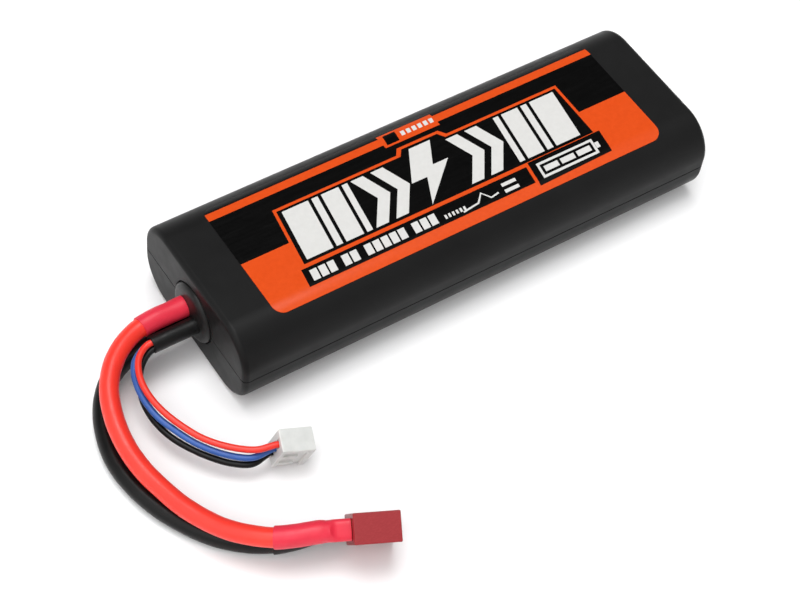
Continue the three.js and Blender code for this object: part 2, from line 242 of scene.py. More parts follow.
def shade(piece, angle=35):
    """Smooth shading with flat faces kept flat."""
    piece.data.shade_smooth()
    piece.data.set_sharp_from_angle(angle=math.radians(angle))
    modifier = piece.modifiers.new("normals", "WEIGHTED_NORMAL")
    modifier.keep_sharp = True
    freeze(piece)


def keep(piece, slot, *nodes):
    """The last step for a piece: it rides on the pack and stands for its CAD nodes."""
    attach(piece, "root")
    if nodes:
        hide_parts(*nodes)
    return piece


def block(name, low, high, *looks):
    """A box between two corners, cut into its faces, for carving and softening."""
    mesh = bmesh.new()
    bmesh.ops.create_cube(mesh, size=1)
    low = Vector(low)
    high = Vector(high)
    for vert in mesh.verts:
        vert.co = Vector(low[i] + (vert.co[i] + 0.5) * (high[i] - low[i]) for i in range(3))
    return mesh_piece(name, mesh, *looks)


def prism(name, outline, z_low, z_high, *looks):
    """A flat outline of (x, y) points with a height."""
    mesh = bmesh.new()
    rings = [[mesh.verts.new((x, y, z)) for x, y in outline] for z in (z_low, z_high)]
    for ring in rings:
        mesh.faces.new(ring)
    join_rings(mesh, rings, True)
    return mesh_piece(name, mesh, *looks)


def join_rings(mesh, rings, closed):
    """Faces between neighbouring rings of points; closed rings go all the way round."""
    for ring, following in zip(rings, rings[1:]):
        count = len(ring)
        for i in range(count if closed else count - 1):
            j = (i + 1) % count
            corners = [ring[i], ring[j], following[j], following[i]]
            corners = [c for k, c in enumerate(corners) if c is not corners[k - 1]]
            if len(corners) > 2:
                mesh.faces.new(corners)


# ---------- paths ----------
def smooth_path(points, steps=8):
    """The centripetal Catmull-Rom curve through the points, as a dense list."""
    points = [Vector(p) for p in points]
    around = [2 * points[0] - points[1], *points, 2 * points[-1] - points[-2]]
    path = []
    for a, b, c, d in zip(around, around[1:], around[2:], around[3:]):
        before, here, after = (math.sqrt((q - p).length) for p, q in ((a, b), (b, c), (c, d)))
        leave = ((b - a) / before - (c - a) / (before + here) + (c - b) / here) * here
        arrive = ((c - b) / here - (d - b) / (here + after) + (d - c) / after) * here
        for i in range(steps):
            t = i / steps
            near = (1 + 2 * t) * (1 - t) ** 2 * b + t * (1 - t) ** 2 * leave
            far = t * t * (3 - 2 * t) * c - t * t * (1 - t) * arrive
            path.append(near + far)
    path.append(points[-1])
    return path


class Track:
    """A dense path, with its point and a pair of cross directions at any distance along it."""

    def __init__(self, path, across):
        self.path = path
        self.reach = [0.0]
        for a, b in zip(path, path[1:]):
            self.reach.append(self.reach[-1] + (b - a).length)
        self.across = []
        for i in range(len(path)):
            ahead = (path[min(i + 1, len(path) - 1)] - path[max(i - 1, 0)]).normalized()
            across = (across - ahead * across.dot(ahead)).normalized()
            self.across.append((across.copy(), ahead.cross(across)))

    def at(self, distance):
        i = 0
        while i < len(self.path) - 2 and self.reach[i + 1] < distance:
            i += 1
        share = (distance - self.reach[i]) / (self.reach[i + 1] - self.reach[i])
        point = self.path[i].lerp(self.path[i + 1], share)
        first, second = (a.lerp(b, share) for a, b in zip(self.across[i], self.across[i + 1]))
        return point, first, second


def rounded(turn, wide, high, squareness):
    """A point of an ellipse that turns into a rounded rectangle as squareness goes from 0 to 1."""
    power = 1 - 0.55 * squareness
    x = math.copysign(abs(math.cos(turn)) ** power, math.cos(turn))
    y = math.copysign(abs(math.sin(turn)) ** power, math.sin(turn))
    return wide * x, high * y


def hollow_sweep(name, track, rings, look, sides=48):
    """A closed tube wall. Each ring is (distance, half width, half height, squareness), out and back."""
    mesh = bmesh.new()
    loops = []
    for distance, wide, high, squareness in rings:
        point, first, second = track.at(distance)
        section = [rounded(2 * math.pi * i / sides, wide, high, squareness) for i in range(sides)]
        loops.append([mesh.verts.new(point + first * x + second * y) for x, y in section])
    join_rings(mesh, [*loops, loops[0]], True)
    piece = mesh_piece(name, mesh, look)
    shade(piece)
    return piece


def sleeve_rings(start, end, outside, step=0.0006, lip=0.00008):
    """Rings of a thin sleeve. outside(distance) gives its half width, half height and squareness."""
    wall = SLEEVE_OUTER - SLEEVE_INNER
    count = max(2, round((end - start - 2 * lip) / step))
    along = [start + lip + (end - start - 2 * lip) * i / count for i in range(count + 1)]

    def ring(distance, inset, at=None):
        wide, high, squareness = outside(distance if at is None else at)
        return distance, wide - inset, high - inset, squareness

    out = [ring(start, lip, along[0]), *(ring(s, 0) for s in along), ring(end, lip, along[-1])]
    back = [start + (end - start) * i / count for i in range(count, -1, -1)]
    return [*out, *(ring(s, wall) for s in back)]


# ---------- materials ----------
def new_look(name, roughness, **sockets):
    look = bpy.data.materials.new(name)
    look.use_nodes = True
    inputs = look.node_tree.nodes["Principled BSDF"].inputs
    inputs["Roughness"].default_value = roughness
    for socket, value in sockets.items():
        inputs[socket.replace("_", " ")].default_value = value
    return look


def shader_input(look, socket):
    return look.node_tree.nodes["Principled BSDF"].inputs[socket]


def join(look, source, target):
    look.node_tree.links.new(source, target)


def grain(look, feature, detail=3.0, stretch=(1, 1, 1), kind="Noise"):
    """A pattern in object coordinates whose marks are about feature metres across."""
    nodes = look.node_tree.nodes
    place = nodes.new("ShaderNodeTexCoord")
    mapping = nodes.new("ShaderNodeMapping")
    mapping.inputs["Scale"].default_value = stretch
    pattern = nodes.new(f"ShaderNodeTex{kind}")
    pattern.inputs["Scale"].default_value = 1 / feature
    join(look, place.outputs["Object"], mapping.inputs["Vector"])
    join(look, mapping.outputs["Vector"], pattern.inputs["Vector"])
    if kind == "Noise":
        pattern.inputs["Detail"].default_value = detail
        return pattern.outputs["Fac"]
    return pattern.outputs["Distance"]


def between(look, fac, low, high, start=0.3, end=0.7):
    """The pattern brought to a range of numbers."""
    ranged = look.node_tree.nodes.new("ShaderNodeMapRange")
    ranged.inputs["From Min"].default_value = start
    ranged.inputs["From Max"].default_value = end
    ranged.inputs["To Min"].default_value = low
    ranged.inputs["To Max"].default_value = high
    join(look, fac, ranged.inputs["Value"])
    return ranged.outputs["Result"]


def mixed(look, fac, first, second):
    """One colour turning into another; either may be another node's output."""
    mix = look.node_tree.nodes.new("ShaderNodeMix")
    mix.data_type = "RGBA"
    join(look, fac, mix.inputs[0])
    for value, socket in ((first, mix.inputs[6]), (second, mix.inputs[7])):
        if isinstance(value, tuple):
            socket.default_value = (*value, 1)
        else:
            join(look, value, socket)
    return mix.outputs[2]


def colour(look, fac, first, second, start=0.3, end=0.7):
    blended = mixed(look, between(look, fac, 0, 1, start, end), first, second)
    join(look, blended, shader_input(look, "Base Color"))


def raise_by(look, *heights):
    """Bump: each height is (pattern, how far it rises in metres, strength)."""
    nodes = look.node_tree.nodes
    normal = None
    for pattern, rise, strength in heights:
        bump = nodes.new("ShaderNodeBump")
        bump.inputs["Distance"].default_value = rise
        bump.inputs["Strength"].default_value = strength
        join(look, pattern, bump.inputs["Height"])
        if normal is not None:
            join(look, normal, bump.inputs["Normal"])
        normal = bump.outputs["Normal"]
    join(look, normal, shader_input(look, "Normal"))


def vary_roughness(look, fac, low, high):
    join(look, between(look, fac, low, high), shader_input(look, "Roughness"))


def case_plastic():
    """Spark-eroded black ABS: a fine even grain, satin, with faint darker flow clouds."""
    look = new_look("case_plastic", 0.42, Specular_IOR_Level=0.1)
    clouds = grain(look, 0.03, 2)
    pores = grain(look, 0.00022, 2)
    colour(look, clouds, (0.0082, 0.0082, 0.0083), (0.0106, 0.0106, 0.0107))
    vary_roughness(look, grain(look, 0.004, 4), 0.36, 0.44)
    raise_by(look, (pores, 0.00001, 0.55), (clouds, 0.0002, 0.25))
    return look


def print_film(name, ink, ink_dark):
    """Printed film under a clear glossy laminate, with faint handling scratches and ripples."""
    look = new_look(name, 0.24, Coat_Weight=0.25, Coat_Roughness=0.08, Specular_IOR_Level=0.15)
    colour(look, grain(look, 0.0011, 4), ink_dark, ink)
    scratches = grain(look, 0.0006, 2, (0.06, 1, 1))
    vary_roughness(look, scratches, 0.18, 0.27)
    raise_by(look, (grain(look, 0.011, 1), 0.00004, 0.35), (scratches, 0.000002, 0.3))
    return look


def silicone(name, base, shade_of_base, gloss=0.4):
    """Soft extruded silicone: satin, slightly glowing, with fine drawing marks and dust."""
    look = new_look(name, 0.33, Subsurface_Weight=0.1, Subsurface_Scale=0.0008, Specular_IOR_Level=gloss)
    shader_input(look, "Subsurface Radius").default_value = (1.0, 0.35, 0.25)
    colour(look, grain(look, 0.006, 3), shade_of_base, base)
    vary_roughness(look, grain(look, 0.0009, 4), 0.3, 0.42)
    raise_by(look, (grain(look, 0.00035, 3), 0.00001, 0.4), (grain(look, 0.004, 2), 0.00006, 0.3))
    return look


def shrink_tube(name, base, shade_of_base, gloss=0.35):
    """Shrunk polyolefin tube: a finely pebbled satin skin that puckers a little."""
    look = new_look(name, 0.38, Specular_IOR_Level=gloss, Subsurface_Weight=0.05, Subsurface_Scale=0.0005)
    colour(look, grain(look, 0.0035, 4), shade_of_base, base)
    vary_roughness(look, grain(look, 0.0012, 3), 0.34, 0.48)
    puckers = grain(look, 0.0016, 2, (0.5, 1, 1))
    raise_by(look, (grain(look, 0.0002, 2), 0.000012, 0.5), (puckers, 0.00005, 0.35))
    return look


def rubber():
    """Moulded black rubber, satin, with a faint dusty bloom."""
    look = new_look("black_rubber", 0.4, Specular_IOR_Level=0.25)
    colour(look, grain(look, 0.0015, 5), (0.007, 0.007, 0.007), (0.012, 0.012, 0.012))
    vary_roughness(look, grain(look, 0.0006, 4), 0.34, 0.46)
    raise_by(look, (grain(look, 0.0003, 3), 0.00001, 0.4))
    return look


def plug_nylon():
    """Glass-filled nylon: short pale fibres just under a moulded satin skin."""
    look = new_look("plug_nylon", 0.38, Specular_IOR_Level=0.3)
    fibres = grain(look, 0.00025, 3, (0.35, 1, 1))
    colour(look, fibres, (0.265, 0.013, 0.017), (0.315, 0.02, 0.025), 0.4, 0.75)
    vary_roughness(look, grain(look, 0.001, 3), 0.32, 0.46)
    raise_by(look, (fibres, 0.00001, 0.4), (grain(look, 0.00012, 2), 0.000008, 0.5))
    return look


def white_nylon():
    """Natural nylon: milky, with cloudy flow marks."""
    look = new_look(
        "white_nylon", 0.34, Subsurface_Weight=0.35, Subsurface_Scale=0.0012, Specular_IOR_Level=0.45,
    )
    shader_input(look, "Subsurface Radius").default_value = (1.0, 1.0, 0.95)
    colour(look, grain(look, 0.0025, 3), (0.58, 0.592, 0.575), (0.65, 0.66, 0.642))
    vary_roughness(look, grain(look, 0.0008, 3), 0.28, 0.42)
    raise_by(look, (grain(look, 0.0004, 2), 0.00001, 0.35))
    return look


def metal(name, base, tarnish, roughness, brush=(0.05, 1, 1)):
    """Rolled or plated sheet with brush lines along it and patches of tarnish."""
    look = new_look(name, roughness, Metallic=1.0)
    lines = grain(look, 0.0003, 3, brush)
    colour(look, grain(look, 0.002, 4), tarnish, base)
    vary_roughness(look, lines, roughness - 0.06, roughness + 0.1)
    raise_by(look, (lines, 0.000006, 0.4))
    return look


def pouch_foil():
    """The laminated foil of a pouch cell: soft crinkles over a bright metal."""
    look = new_look("cell_foil", 0.3, Metallic=0.9)
    crinkles = grain(look, 0.004, 4)
    colour(look, crinkles, (0.46, 0.47, 0.48), (0.6, 0.61, 0.62))
    vary_roughness(look, grain(look, 0.0015, 3), 0.22, 0.4)
    raise_by(look, (crinkles, 0.0002, 0.4), (grain(look, 0.0007, 2), 0.00003, 0.3))
    return look


def foam_rubber():
    """Closed-cell foam: small bubbles cut open at the surface."""
    look = new_look("foam", 0.92)
    bubbles = grain(look, 0.0005, kind="Voronoi")
    colour(look, bubbles, (0.012, 0.012, 0.013), (0.045, 0.045, 0.048), 0.1, 0.7)
    raise_by(look, (bubbles, 0.0002, 0.7))
    return look


def solder_mask():
    """Green solder mask with copper traces showing through as paler bands."""
    look = new_look("board", 0.35, Coat_Weight=0.3)
    traces = grain(look, 0.003, 1, (1, 1, 0.25))
    colour(look, traces, (0.008, 0.085, 0.03), (0.03, 0.2, 0.07), 0.49, 0.53)
    vary_roughness(look, grain(look, 0.0008, 3), 0.28, 0.45)
    raise_by(look, (traces, 0.00003, 0.5))
    return look


def fish_paper():
    """Vulcanised paper insulation with its fibres."""
    look = new_look("insulator_paper", 0.8)
    fibres = grain(look, 0.0007, 5, (1, 0.2, 1))
    colour(look, fibres, (0.42, 0.36, 0.23), (0.6, 0.53, 0.38))
    raise_by(look, (fibres, 0.00003, 0.5))
    return look


def pale_floor():
    """Matt paper, nearly white, with a faint unevenness."""
    look = new_look("pale_floor", 0.6, Specular_IOR_Level=0.25)
    colour(look, grain(look, 0.08, 3), (0.915, 0.915, 0.918), (0.935, 0.935, 0.938))
    vary_roughness(look, grain(look, 0.01, 3), 0.55, 0.65)
    raise_by(look, (grain(look, 0.0008, 2), 0.00002, 0.2))
    return look


plastic = case_plastic()
black_rubber = rubber()
red_silicone = silicone("red_silicone", (0.84, 0.04, 0.024), (0.78, 0.032, 0.02))
black_silicone = silicone("black_silicone", (0.005, 0.005, 0.005), (0.003, 0.003, 0.003), 0.22)
blue_silicone = silicone("blue_silicone", (0.035, 0.12, 0.42), (0.028, 0.1, 0.37))
red_shrink = shrink_tube("red_shrink", (0.72, 0.028, 0.058), (0.66, 0.022, 0.048))
black_shrink = shrink_tube("black_shrink", (0.005, 0.005, 0.005), (0.003, 0.003, 0.003), 0.25)
crimson_nylon = plug_nylon()
milky_nylon = white_nylon()
gold = metal("gold_plate", (0.86, 0.6, 0.2), (0.7, 0.44, 0.12), 0.24)
nickel = metal("nickel", (0.62, 0.6, 0.54), (0.5, 0.47, 0.42), 0.26)
orange_ink = print_film("orange_ink", (0.66, 0.072, 0.01), (0.62, 0.064, 0.0085))
black_ink = print_film("black_ink", (0.002, 0.002, 0.002), (0.0014, 0.0014, 0.0014))
white_ink = print_film("white_ink", (0.63, 0.626, 0.61), (0.6, 0.596, 0.58))


# ---------- camera, floor and lights ----------
def add_camera():
    camera = bpy.data.cameras.new("camera")
    camera.lens = LENS
    camera.sensor_width = 36
    flat = math.cos(VIEW_ELEVATION)
    back = Vector((math.sin(VIEW_AZIMUTH) * flat, -math.cos(VIEW_AZIMUTH) * flat, math.sin(VIEW_ELEVATION)))
    right = Vector((0, 0, 1)).cross(back).normalized()
    up = back.cross(right)
    turn = Matrix.Rotation(VIEW_ROLL, 3, back)
    right = turn @ right
    up = turn @ up
    eye = link("camera", camera)
    eye.matrix_world = Matrix.Translation(VIEW_TARGET + VIEW_DISTANCE * back) @ Matrix(
        (right, up, back)
    ).transposed().to_4x4()
    scene.camera = eye


def add_floor():
    mesh = bmesh.new()
    bmesh.ops.create_grid(mesh, x_segments=8, y_segments=8, size=4)
    floor = mesh_piece("floor", mesh, pale_floor())
    floor.location.z = -0.00004


def add_studio():
    """Soft light from all round: a pale low wall, and wide soft boxes above, beside and behind."""
    world = bpy.data.worlds.new("studio")
    world.use_nodes = True
    scene.world = world
    nodes = world.node_tree.nodes
    links = world.node_tree.links
    direction = nodes.new("ShaderNodeTexCoord").outputs["Generated"]

    def ranged(value, start, end, first, last):
        scale = nodes.new("ShaderNodeMapRange")
        scale.interpolation_type = "SMOOTHSTEP"
        links.new(value, scale.inputs["Value"])
        for socket, number in (("From Min", start), ("From Max", end), ("To Min", first), ("To Max", last)):
            scale.inputs[socket].default_value = number
        return scale.outputs["Result"]

    def soft_box(toward, full, none, strength):
        """A glow that is even within one angle of a direction and gone beyond another, in degrees."""
        facing = nodes.new("ShaderNodeVectorMath")
        facing.operation = "DOT_PRODUCT"
        links.new(direction, facing.inputs[0])
        facing.inputs[1].default_value = Vector(toward).normalized()
        edge, middle = (math.cos(math.radians(angle)) for angle in (none, full))
        return ranged(facing.outputs["Value"], edge, middle, 0, strength)

    height = nodes.new("ShaderNodeSeparateXYZ")
    links.new(direction, height.inputs[0])
    glows = [
        ranged(height.outputs["Z"], *WALL_TOP, LOW_WALL, DARK_CEILING),
        *(soft_box(*box) for box in SOFT_BOXES),
    ]
    total = glows[0]
    for glow in glows[1:]:
        both = nodes.new("ShaderNodeMath")
        links.new(total, both.inputs[0])
        links.new(glow, both.inputs[1])
        total = both.outputs["Value"]
    links.new(total, nodes["Background"].inputs["Strength"])
    nodes["Background"].inputs["Color"].default_value = (1, 1, 1, 1)


add_camera()
add_floor()
add_studio()


# ---------- leads ----------
def plug_point(x, y, z=0.0):
    return PLUG_PLACE @ Vector((x, y, z))


def balance_point(x, y, z=0.0):
    return BALANCE_PLACE @ Vector((x, y, z))


def cord_curve(name, path, radius, look):
    """A round cord along a dense path, very slightly uneven as an extruded one is."""
    curve = bpy.data.curves.new(name, "CURVE")
    curve.dimensions = "3D"
    curve.bevel_depth = radius
    curve.bevel_resolution = 10
    curve.use_fill_caps = True
    spline = curve.splines.new("POLY")
    spline.points.add(len(path) - 1)
    for i, (point, place) in enumerate(zip(spline.points, path)):
        point.co = (*place, 1)
        point.radius = 1 + 0.006 * math.sin(0.31 * i) + 0.004 * math.sin(0.83 * i + 1)
    curve.materials.append(look)
    return link(name, curve)


def straight_run(cross, start=LEAD_START_X, *further):
    return [(x, *cross) for x in (start, *RUN_X, *further)]


def lead_path(cross, route, side):
    ends = [plug_point(LEAD_END_X - back, side * CONTACT_OFFSET) for back in (0.002, 0)]
    return smooth_path([*straight_run(cross), *route, *ends])


def wire_path(pole, order):
    turn = math.radians(WIRE_TURNS[pole])
    cross = (
        BUNDLE_EXIT[0] + BUNDLE_RADIUS * math.cos(turn),
        BUNDLE_EXIT[1] + BUNDLE_RADIUS * math.sin(turn),
    )
    y = (1 - order) * BALANCE_PITCH
    ends = [balance_point(-BALANCE_LENGTH / 2 + back, y) for back in (-0.0003, 0.0004)]
    return smooth_path([*straight_run(cross, LEAD_START_X, -0.081), *WIRE_ROUTES[pole], *ends])


positive_path = lead_path(POSITIVE_EXIT, POSITIVE_ROUTE, 1)
negative_path = lead_path(NEGATIVE_EXIT, NEGATIVE_ROUTE, -1)
positive_lead = cord_curve("power_lead_red", positive_path, LEAD_RADIUS, red_silicone)
negative_lead = cord_curve("power_lead_black", negative_path, LEAD_RADIUS, black_silicone)
keep(positive_lead, "red_silicone", "main_lead_positive")
keep(negative_lead, "black_silicone", "main_lead_negative")

wires = {}
wire_looks = {"positive": red_silicone, "middle": blue_silicone, "negative": black_silicone}
wire_colours = {"positive": "red", "middle": "blue", "negative": "black"}
for order, pole in enumerate(WIRE_TURNS):
    hue = wire_colours[pole]
    wires[pole] = cord_curve(f"balance_lead_{hue}", wire_path(pole, order), WIRE_RADIUS, wire_looks[pole])
    keep(wires[pole], f"{hue}_silicone", f"balance_wire_{pole}")


# ---------- sleeves ----------
def round_outside(radius, seed, unevenness=0.00003):
    """The outside of a shrunk round sleeve: nearly round, swelling and tightening slightly."""
    def outside(distance):
        swell = unevenness * math.sin(distance * 900 + seed)
        squash = unevenness * math.sin(distance * 560 + 2 * seed)
        return radius + swell + squash, radius + swell - squash, 0.0
    return outside


def exit_sleeve(name, path, end, look, seed):
    """The sleeve over a lead where it leaves the case, from behind the rubber bushing on."""
    track = Track(path, Vector((0, 0, 1)))
    rings = sleeve_rings(SLEEVE_START, end, round_outside(SLEEVE_OUTER, seed))
    return hollow_sweep(name, track, rings, look)


positive_exit_sleeve = exit_sleeve("exit_sleeve_red", positive_path, POSITIVE_SLEEVE_END, red_shrink, 1)
negative_exit_sleeve = exit_sleeve("exit_sleeve_black", negative_path, NEGATIVE_SLEEVE_END, black_shrink, 2)
keep(positive_exit_sleeve, "red_shrink", "exit_sleeve_positive")
keep(negative_exit_sleeve, "black_shrink", "exit_sleeve_negative")


def tab_outside(distance):
    """Round on the lead, waisted behind the solder tab, then pressed flat over it.
    The distance is measured from the plug."""
    flat = (0.00256, 0.0016, 0.75)
    waist = (0.0025, 0.00246, 0.1)
    barrel = (SLEEVE_OUTER, SLEEVE_OUTER, 0.0)
    stops = [(0.0, flat), (0.0038, flat), (0.005, waist), (0.0056, waist), (0.0066, barrel), (1.0, barrel)]
    for (start, first), (end, second) in zip(stops, stops[1:]):
        if distance <= end:
            share = (distance - start) / (end - start)
            share = share * share * (3 - 2 * share)
            return tuple(a + (b - a) * share for a, b in zip(first, second))
    return barrel


def plug_sleeve(name, path, side, tab_width_axis, look):
    """The sleeve over the joint between a lead and its contact."""
    start = plug_point(-PLUG_LENGTH / 2 - 0.0001, side * CONTACT_OFFSET)
    middle = plug_point(-PLUG_LENGTH / 2 - 0.0025, side * CONTACT_OFFSET)
    track = Track([start, middle, *reversed(path)], PLUG_PLACE.to_3x3() @ Vector(tab_width_axis))
    return hollow_sweep(name, track, sleeve_rings(0, PLUG_SLEEVE_LENGTH, tab_outside), look)


positive_plug_sleeve = plug_sleeve("plug_sleeve_red", positive_path, 1, (0, 0, 1), red_shrink)
negative_plug_sleeve = plug_sleeve("plug_sleeve_black", negative_path, -1, (0, 1, 0), black_shrink)
keep(positive_plug_sleeve, "red_shrink", "plug_sleeve_positive")
keep(negative_plug_sleeve, "black_shrink", "plug_sleeve_negative")


def wire_sheath():
    """The black sheath round the three balance wires, drawn in a little where it is cut off."""
    start = Vector((LEAD_START_X, *BUNDLE_EXIT))
    path = [start + Vector((-0.0005 * i, 0, 0)) for i in range(60)]
    wall = SHEATH_OUTER - SHEATH_INNER
    count = 36
    along = [SLEEVE_START + (SHEATH_END - SLEEVE_START) * i / count for i in range(count + 1)]
    swell = [0.00004 * math.sin(700 * s) for s in along]
    out = [(s, SHEATH_OUTER + w, SHEATH_OUTER - w, 0) for s, w in zip(along, swell)]
    tip = (SHEATH_END + 0.0001, SHEATH_OUTER - 0.0001, SHEATH_OUTER - 0.0001, 0)
    back = [(s, r - wall, h - wall, 0) for s, r, h, _ in reversed(out)]
    mouth = (SHEATH_END + 0.0001, SHEATH_INNER + 0.00005, SHEATH_INNER + 0.00005, 0)
    track = Track(path, Vector((0, 0, 1)))
    return hollow_sweep("balance_sheath_black", track, [*out, tip, mouth, *back], black_shrink)


sheath = keep(wire_sheath(), "black_shrink", "balance_sheath")


# ---------- case shells ----------
def edge_height(up):
    """The height of a shell's parting edge; up is 1 for the upper shell and -1 for the lower."""
    return UPPER_EDGE_Z if up > 0 else LOWER_EDGE_Z


def half_section(inset, up, corner_steps=16, flat_steps=8):
    """Half of the case's rounded section, from its +Y edge over to its -Y edge, as (y, z)."""
    radius = SIDE_RADIUS - inset
    centre_z = MID_Z + up * (HEIGHT / 2 - SIDE_RADIUS)
    near, far = (
        [math.pi / 2 * (quarter + i / corner_steps) for i in range(corner_steps + 1)]
        for quarter in (0, 1)
    )
    over = [(FLAT_HALF + radius * math.cos(t), centre_z + up * radius * math.sin(t)) for t in near]
    over += [(FLAT_HALF * (1 - 2 * i / flat_steps), centre_z + up * radius) for i in range(1, flat_steps)]
    over += [(-FLAT_HALF + radius * math.cos(t), centre_z + up * radius * math.sin(t)) for t in far]
    edge_z = edge_height(up)
    return [(HALF_WIDTH - inset, edge_z), *over, (-HALF_WIDTH + inset, edge_z)]


def half_circle(radius, up):
    """Half of a circle round the middle of the end face, in step with the points of the section."""
    angles = [math.atan2(up * (z - MID_Z), y) % (2 * math.pi) for y, z in half_section(0, up)]
    if angles[0] > math.pi:
        angles[0] -= 2 * math.pi
    edge = math.asin(up * (edge_height(up) - MID_Z) / radius)
    scale = (math.pi - 2 * edge) / (angles[-1] - angles[0])
    turns = [edge + (angle - angles[0]) * scale for angle in angles]
    return [(radius * math.cos(t), MID_Z + up * radius * math.sin(t)) for t in turns]


def quarter_round(radius, steps=6):
    """(how far in, how deep) along a rounded rim, from the flat face round to the wall."""
    turns = [math.pi / 2 * i / steps for i in range(steps + 1)]
    return [(radius * (1 - math.sin(t)), radius * (1 - math.cos(t))) for t in turns]


def solid_half(name, up):
    """One half of the case as a solid bar with rounded ends and a bore for the leads in it."""
    end = HALF_LENGTH
    bore_end = BOSS_END_X + 0.003
    fillet = quarter_round(END_FILLET)
    spans = [end - END_FILLET - (2 * end - 2 * END_FILLET) * i / 12 for i in range(1, 12)]
    rings = [(end, half_section(END_FILLET + 0.0012, up))]
    rings += [(end - depth, half_section(inset, up)) for inset, depth in fillet]
    rings += [(x, half_section(0, up)) for x in spans]
    rings += [(-end + depth, half_section(inset, up)) for inset, depth in reversed(fillet)]
    rings += [(-end, half_section(END_FILLET + 0.0012, up))]
    rings += [
        (-end + depth, half_circle(OPENING_RADIUS + inset, up))
        for inset, depth in [(OPENING_RIM + 0.0008, 0), *quarter_round(OPENING_RIM, 3)]
    ]
    rings += [(bore_end, half_circle(OPENING_RADIUS, up))]

    mesh = bmesh.new()
    edge_z = edge_height(up)
    loops = [[mesh.verts.new((x, y, z)) for y, z in section] for x, section in rings]
    poles = [[mesh.verts.new((x, 0, edge_z))] * len(loops[0]) for x in (end, bore_end)]
    join_rings(mesh, [poles[0], *loops, poles[1]], False)
    lip = [poles[0][0], *(loop[0] for loop in loops), poles[1][0], *(loop[-1] for loop in reversed(loops))]
    lip_face = mesh.faces.new(lip)

    def is_outside(vert):
        return abs(vert.co.y) > OPENING_RADIUS + 0.0001 or vert.co.x > 0

    seen_edges = [edge for edge in lip_face.edges if all(is_outside(vert) for vert in edge.verts)]
    bmesh.ops.bevel(
        mesh, geom=seen_edges, offset=PARTING_BEVEL, segments=2, profile=0.5, affect="EDGES",
        clamp_overlap=True,
    )
    return mesh_piece(name, mesh, plastic)


def turned(name, profile, centre=(0, MID_Z), *looks, sides=80):
    """A round body along X about a centre (y, z). The profile is (x, radius) from end to end."""
    mesh = bmesh.new()
    turns = [2 * math.pi * i / sides for i in range(sides)]
    rings = [
        [mesh.verts.new((x, centre[0] + r * math.cos(t), centre[1] + r * math.sin(t))) for t in turns]
        for x, r in profile
    ]
    mesh.faces.new(rings[0])
    mesh.faces.new(rings[-1])
    join_rings(mesh, rings, True)
    return mesh_piece(name, mesh, *looks)


def cavity():
    """The room inside the case, round the boss that the leads pass through."""
    mesh = bmesh.new()
    section = [*half_section(WALL, 1), *reversed(half_section(WALL, -1))]
    rings = [
        [mesh.verts.new((x, y, z)) for y, z in section]
        for x in (-HALF_LENGTH + WALL, HALF_LENGTH - WALL)
    ]
    for ring in rings:
        mesh.faces.new(ring)
    join_rings(mesh, rings, True)
    room = mesh_piece("room", mesh)
    boss = OPENING_RADIUS + BOSS_WALL
    carve(room, turned("boss", [(-HALF_LENGTH, boss), (BOSS_END_X, boss)]))
    return room


def edge_band(outer, inner, clear, z_low, z_high):
    """A band of wall along the parting edge, between two insets, that stops beside the boss."""
    x_out, x_in = (HALF_LENGTH - inset for inset in (outer, inner))
    y_out, y_in = (HALF_WIDTH - inset for inset in (outer, inner))
    outline = [
        (-x_out, clear), (-x_out, y_out), (x_out, y_out), (x_out, -y_out), (-x_out, -y_out),
        (-x_out, -clear), (-x_in, -clear), (-x_in, -y_in), (x_in, -y_in), (x_in, y_in),
        (-x_in, y_in), (-x_in, clear),
    ]
    return prism("band", outline, z_low, z_high)


def add_case():
    upper = solid_half("case_shell_upper", 1)
    carve(upper, cavity())
    carve(upper, edge_band(0.0008, 0.0023, 0.0103, UPPER_EDGE_Z - 0.001, LOWER_EDGE_Z + 0.0022))
    lower = solid_half("case_shell_lower", -1)
    carve(lower, cavity())
    carve(lower, edge_band(0.0011, 0.00175, 0.0106, LOWER_EDGE_Z - 0.0006, LOWER_EDGE_Z + 0.0018), "UNION")
    for piece, node in ((upper, "case_upper"), (lower, "case_lower")):
        shade(piece, 32)
        keep(piece, "case_plastic", node)


add_case()


def add_bushing():
    """The rubber body that the leads pass through: its face stands out, with a soft rounded rim."""
    radius = OPENING_RADIUS - BUSHING_CLEARANCE
    face_x = -HALF_LENGTH - BUSHING_RISE
    crown = 0.0001
    profile = [(face_x, 0.0015), (face_x + crown, radius - BUSHING_ROUNDING)]
    for i in range(1, 11):
        turn = math.pi / 2 * i / 10
        depth = crown + (BUSHING_RISE - crown) * (1 - math.cos(turn))
        profile.append((face_x + depth, radius - BUSHING_ROUNDING * (1 - math.sin(turn))))
    flange_x = BOSS_END_X + PARTING_GAP
    flange = OPENING_RADIUS + FLANGE_REACH
    profile += [(flange_x, radius), (flange_x, flange), (flange_x + FLANGE_THICKNESS, flange)]
    bushing = turned("lead_bushing", profile, (0, MID_Z), black_rubber)
    for centre, sleeve in (
        (POSITIVE_EXIT, SLEEVE_OUTER), (NEGATIVE_EXIT, SLEEVE_OUTER), (BUNDLE_EXIT, SHEATH_OUTER),
    ):
        hole = sleeve + BUSHING_HOLE_CLEARANCE
        carve(bushing, turned("hole", [(face_x - 0.001, hole), (0, hole)], centre))
    shade(bushing)
    keep(bushing, "black_rubber", "lead_grommet")


add_bushing()


# ---------- printed label ----------
def on_label(u, v, lift):
    """The point over the case at u along it and v across it, measured over its surface."""
    radius = SIDE_RADIUS + lift
    turn = max(abs(v) - FLAT_HALF, 0) / SIDE_RADIUS
    y = min(abs(v), FLAT_HALF) + radius * math.sin(turn)
    return Vector((u, math.copysign(y, v), HEIGHT - SIDE_RADIUS + radius * math.cos(turn)))


